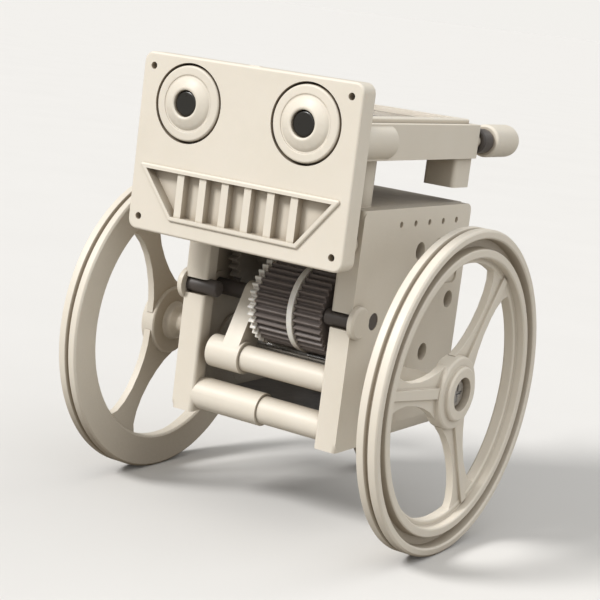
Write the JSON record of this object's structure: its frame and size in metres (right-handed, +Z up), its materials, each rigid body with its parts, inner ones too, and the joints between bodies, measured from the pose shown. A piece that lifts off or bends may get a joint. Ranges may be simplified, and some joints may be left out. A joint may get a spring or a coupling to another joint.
{
  "type": "solar robot kit",
  "caption": "Palm-sized two-wheeled toy robot with a square face plate, an open gear train and a solar panel tray on its back.",
  "frame": {"origin": "on the ground in the middle of the overall outline", "axes": "+Z up, -Y is the way the face looks, +X to the right of someone facing the robot, along the wheel axle"},
  "size_m": [0.065, 0.0666, 0.078],
  "materials": {
    "cream_plastic": "fine satin moulded surface",
    "dark_plastic": "satin moulded",
    "white_gear": "smooth acetal",
    "pupil_black": "satin",
    "steel": "bright drawn",
    "motor_steel": "nickel-plated",
    "magnet": "sintered",
    "armature": "lacquered laminations",
    "terminal_brass": "tinned brass",
    "board": "epoxy board",
    "cells": "dark blue silicon",
    "busbar": "silver print",
    "cover_film": "clear epoxy",
    "wire_red": "PVC",
    "wire_black": "PVC"
  },
  "bodies": {
    "chassis": {"belly_plate": "cream_plastic", "black_wire": "wire_black", "cell_busbars": "busbar", "face_plate": "cream_plastic", "gear_bracket": "cream_plastic", "idler_pin": "steel", "idler_spacer": "white_gear", "left_axle_bush": "cream_plastic", "left_eye": "cream_plastic", "left_front_pin": "dark_plastic", "left_peg_collar": "dark_plastic", "left_pupil": "pupil_black", "left_rear_peg": "cream_plastic", "left_side_plate": "cream_plastic", "motor_can": "motor_steel", "motor_end_cap": "dark_plastic", "motor_magnets": "magnet", "motor_saddle": "cream_plastic", "motor_terminals": "terminal_brass", "panel_bezel": "cream_plastic", "panel_board": "board", "panel_cover": "cover_film", "panel_tray": "cream_plastic", "red_wire": "wire_red", "right_axle_bush": "cream_plastic", "right_eye": "cream_plastic", "right_front_pin": "dark_plastic", "right_peg_collar": "dark_plastic", "right_pupil": "pupil_black", "right_rear_peg": "cream_plastic", "right_side_plate": "cream_plastic", "saddle_screws": "steel", "solar_cells": "cells", "tail_skid": "cream_plastic", "top_deck": "cream_plastic", "tray_screws": "steel"},
    "axle_set": {"axle": "steel", "left_wheel": "cream_plastic", "right_wheel": "cream_plastic", "wheel_screws": "steel", "axle_gear": "dark_plastic"},
    "front_gears": {"front_shaft": "dark_plastic", "drum_gear": "dark_plastic", "second_drum_gear": "dark_plastic", "left_gear_disc": "white_gear", "right_gear_disc": "white_gear"},
    "idler": {"idler_gear": "dark_plastic"},
    "rotor": {"motor_armature": "armature", "motor_pinion": "white_gear"}
  },
  "joints": [
    {"name": "axle_spin", "type": "hinge", "parent": "chassis", "child": "axle_set", "pos_m": [0, -0.0053, 0.028], "axis": [1, 0, 0], "continuous": true},
    {"name": "front_gears_spin", "type": "hinge", "parent": "chassis", "child": "front_gears", "pos_m": [0, -0.01163, 0.0379], "axis": [1, 0, 0], "continuous": true},
    {"name": "idler_spin", "type": "hinge", "parent": "chassis", "child": "idler", "pos_m": [0, -0.00357, 0.04382], "axis": [1, 0, 0], "continuous": true},
    {"name": "rotor_spin", "type": "hinge", "parent": "chassis", "child": "rotor", "pos_m": [0, 0.00693, 0.04382], "axis": [1, 0, 0], "continuous": true}
  ],
  "couplings": [
    {"joint": "front_gears_spin", "follows": "axle_spin", "ratio": -2.1333},
    {"joint": "idler_spin", "follows": "axle_spin", "ratio": 5.4857},
    {"joint": "rotor_spin", "follows": "axle_spin", "ratio": -15.46}
  ]
}
